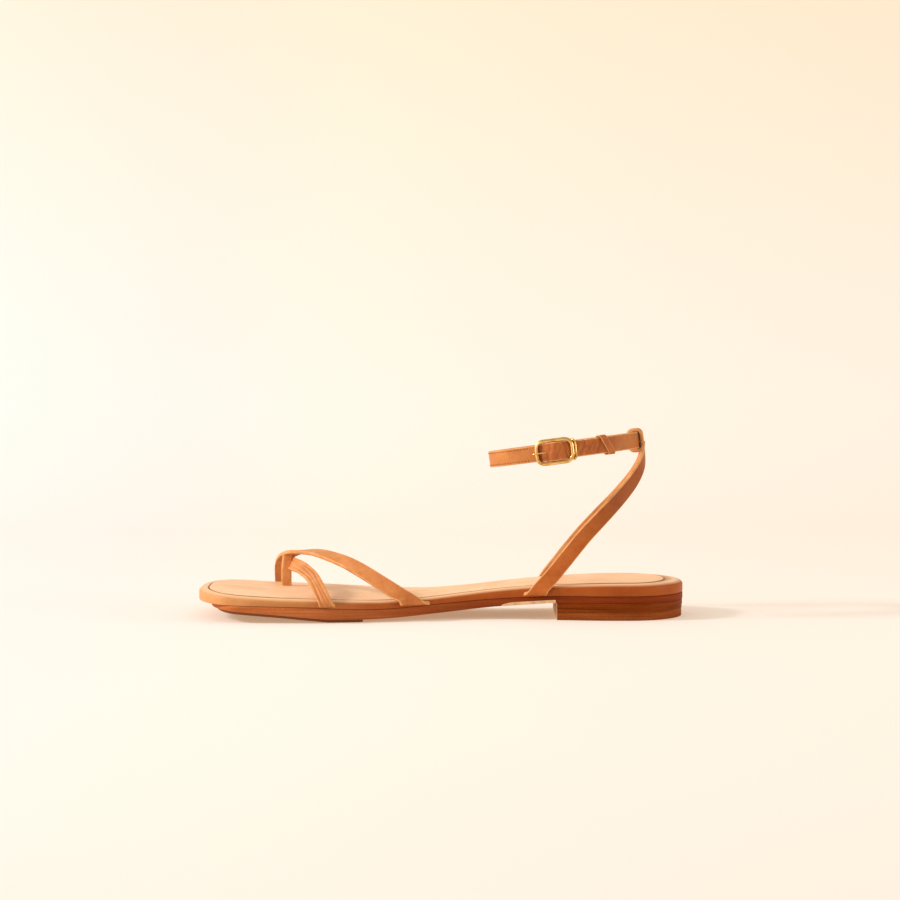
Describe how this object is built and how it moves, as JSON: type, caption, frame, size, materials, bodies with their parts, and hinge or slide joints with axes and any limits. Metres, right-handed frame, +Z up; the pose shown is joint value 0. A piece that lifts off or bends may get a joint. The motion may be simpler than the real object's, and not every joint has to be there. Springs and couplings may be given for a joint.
{
  "type": "sandal",
  "caption": "Flat leather sandal with slim crossing front straps, a toe post, a heel sling and a buckled ankle strap on a low stacked heel.",
  "frame": {"origin": "middle of the sandal's bounding box in X and Y, on the floor plane under the sole", "axes": "+X from toe to heel along the sole, +Y to the inner side of the left foot, +Z up"},
  "size_m": [0.252, 0.088, 0.098],
  "materials": {
    "sole_leather": "dyed and burnished cut edge, satin",
    "footbed_leather": "smooth tan leather with fine grain, satin",
    "sock_leather": "smooth pale tan leather, satin",
    "heel_leather": "stacked leather, dyed, satin",
    "strap_leather": "smooth tan leather with pale cut edges, satin",
    "tread_rubber": "matt moulded",
    "heel_rubber": "matt, ground edge",
    "brass": "polished"
  },
  "bodies": {
    "root": {"outsole": "sole_leather", "forefoot_tread": "tread_rubber", "footbed": "footbed_leather", "sock_lining": "sock_leather", "heel_lift_upper": "heel_leather", "heel_lift_lower": "heel_leather", "heel_top_piece": "heel_rubber", "front_straps": "strap_leather", "heel_sling": "strap_leather", "ankle_strap": "strap_leather", "strap_keeper": "strap_leather", "buckle_frame": "brass", "buckle_prong": "brass", "buckle_keeper": "brass"}
  },
  "joints": []
}
